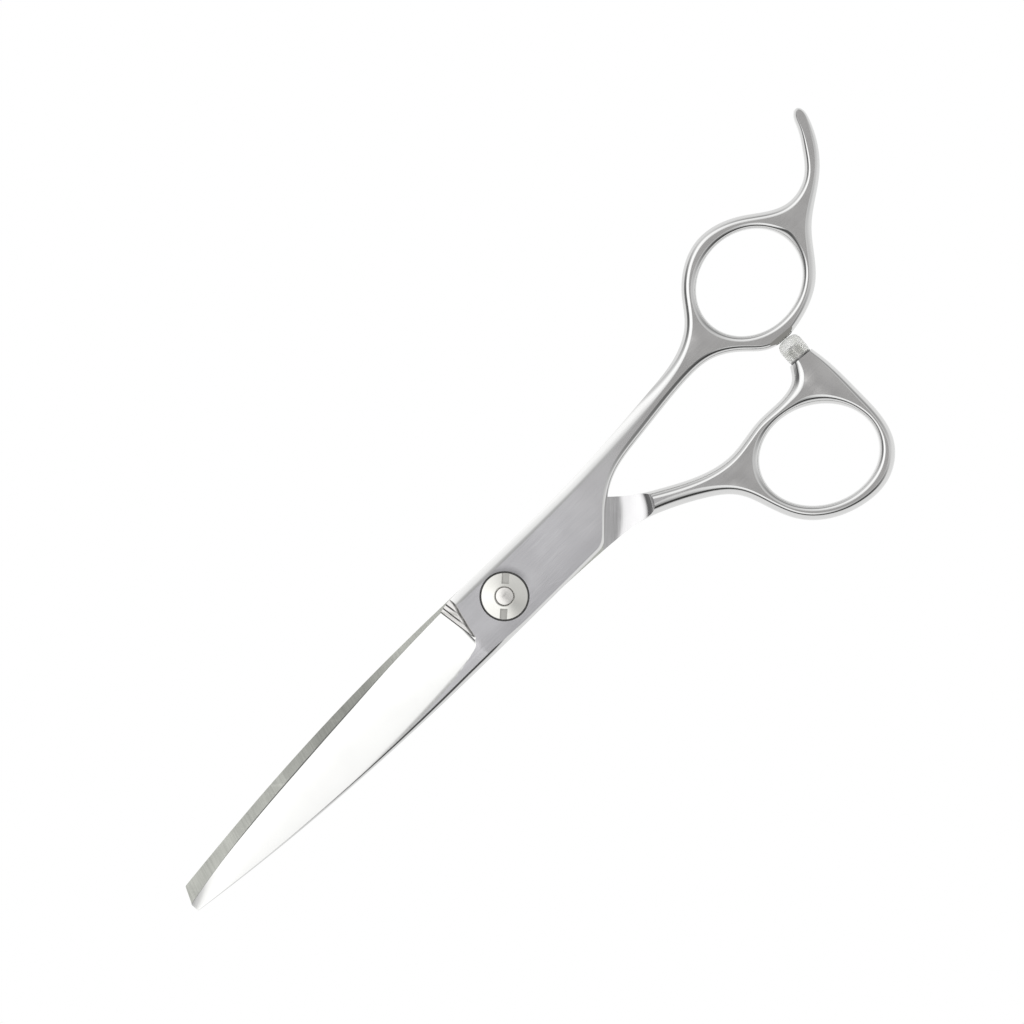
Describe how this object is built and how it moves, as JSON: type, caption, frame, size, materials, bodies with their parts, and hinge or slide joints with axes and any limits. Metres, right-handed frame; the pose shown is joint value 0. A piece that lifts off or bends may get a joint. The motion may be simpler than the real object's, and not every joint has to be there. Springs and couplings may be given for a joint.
{
  "type": "hair cutting shears",
  "caption": "Offset-handle hair cutting shears: two hollow-ground steel halves on an adjustable screw pivot, with a finger rest and a silicone stopper, shown closed.",
  "frame": {"origin": "where the pivot axis meets the flat back of the pivot stud, which is flush with the back of the thumb half that the shears lie on", "axes": "+X from the pivot to the finger rings, blade tips at -X; +Y to the finger ring's side, thumb ring at -Y; +Z along the pivot axis from the thumb half to the finger half, towards the tension nut"},
  "size_m": [0.1813, 0.0602, 0.0064],
  "materials": {
    "blade_steel": "mirror-polished blade faces and ring edges, fine satin on the pivot bodies and webs",
    "pivot_steel": "turned",
    "nut_steel": "circular brushed",
    "spring_steel": "plain",
    "nylon": "matte",
    "bushing_polymer": "matte",
    "silicone": "translucent, smooth"
  },
  "bodies": {
    "finger": {"finger_half": "blade_steel", "pivot_bushing": "bushing_polymer", "nylon_washer": "nylon"},
    "thumb": {"thumb_half": "blade_steel", "pivot_stud": "pivot_steel", "click_washer": "spring_steel", "bumper_stud": "pivot_steel", "bumper": "silicone"},
    "nut": {"tension_nut": "nut_steel"}
  },
  "joints": [
    {"name": "blades_open", "type": "hinge", "parent": "finger", "child": "thumb", "pos_m": [0, 0, 0.003], "axis": [0, 0, -1], "range_deg": [0, 65]},
    {"name": "tension_adjust", "type": "hinge", "parent": "thumb", "child": "nut", "pos_m": [0, 0, 0.0057], "axis": [0, 0, -1], "range_deg": [-90, 90]}
  ]
}
